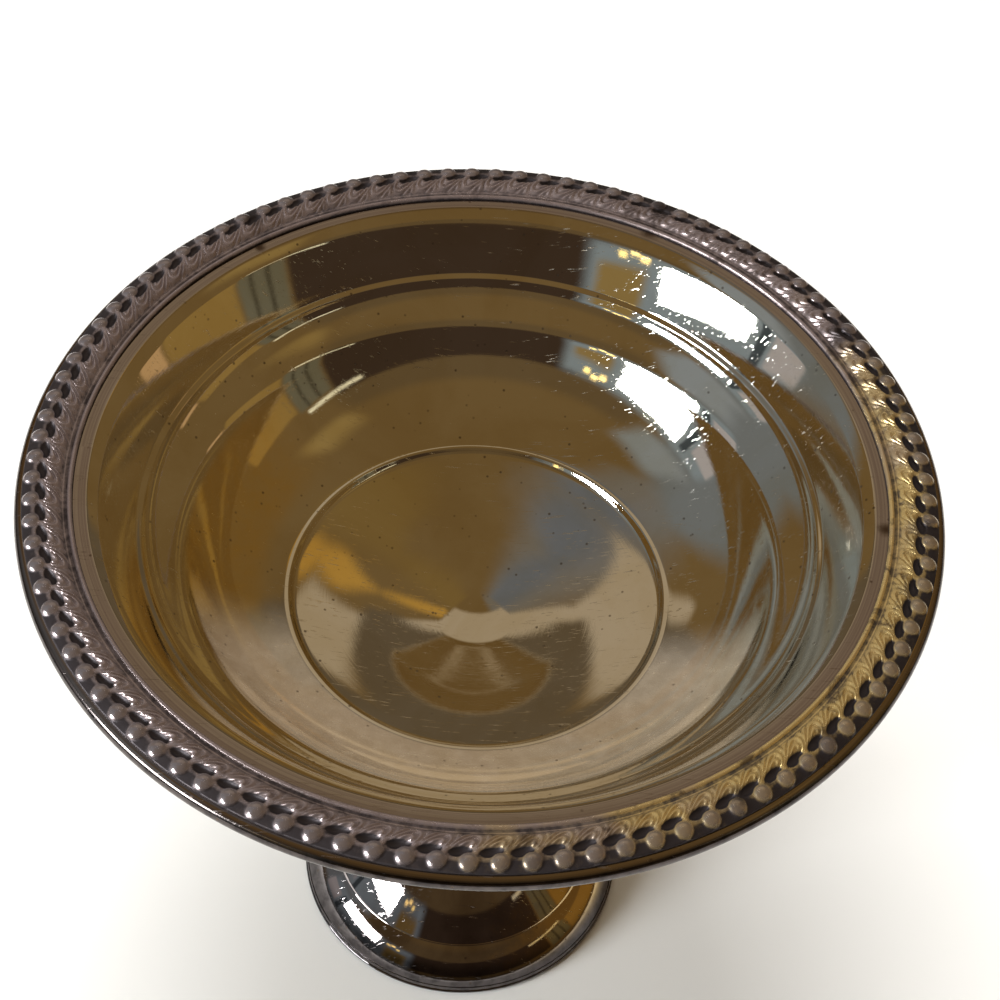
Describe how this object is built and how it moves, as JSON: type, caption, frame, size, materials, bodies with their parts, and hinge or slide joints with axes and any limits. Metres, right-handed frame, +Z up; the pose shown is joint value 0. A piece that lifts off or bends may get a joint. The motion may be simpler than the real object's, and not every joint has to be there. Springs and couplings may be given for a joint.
{
  "type": "footed compote bowl",
  "caption": "Low metal compote with a stepped dish, flat brim, swirled gadroon border and curled edge, on a slender stem and domed weighted foot.",
  "frame": {"origin": "centre of the foot on the surface that the compote stands on", "axes": "+Z up, the axis of the bowl, stem and foot; +Y away from the viewer; +X to the viewer's right"},
  "size_m": [0.1524, 0.1524, 0.1268],
  "materials": {
    "polished_silver": "polished silver plate with a warm brown-gold tarnish, fine scratches and pits",
    "tarnished_silver": "struck silver border, purple-brown tarnish, black in the recesses, bright on the lobes",
    "foot_silver": "polished silver plate with a darker grey-brown tarnish",
    "inner_wire": "drawn wire",
    "brass": "turned brass",
    "plaster": "poured filling",
    "steel": "plain steel",
    "board": "pressed board",
    "felt": "dark green felt"
  },
  "bodies": {
    "root": {"bowl": "polished_silver", "edge_wire": "inner_wire", "gadroon_border": "tarnished_silver", "bowl_boss": "brass", "bowl_cup": "foot_silver", "collar": "foot_silver", "stem": "foot_silver", "foot": "foot_silver", "foot_weight": "plaster", "tie_rod": "steel", "washer": "steel", "nut": "steel", "base_board": "board", "felt_pad": "felt"}
  },
  "joints": []
}
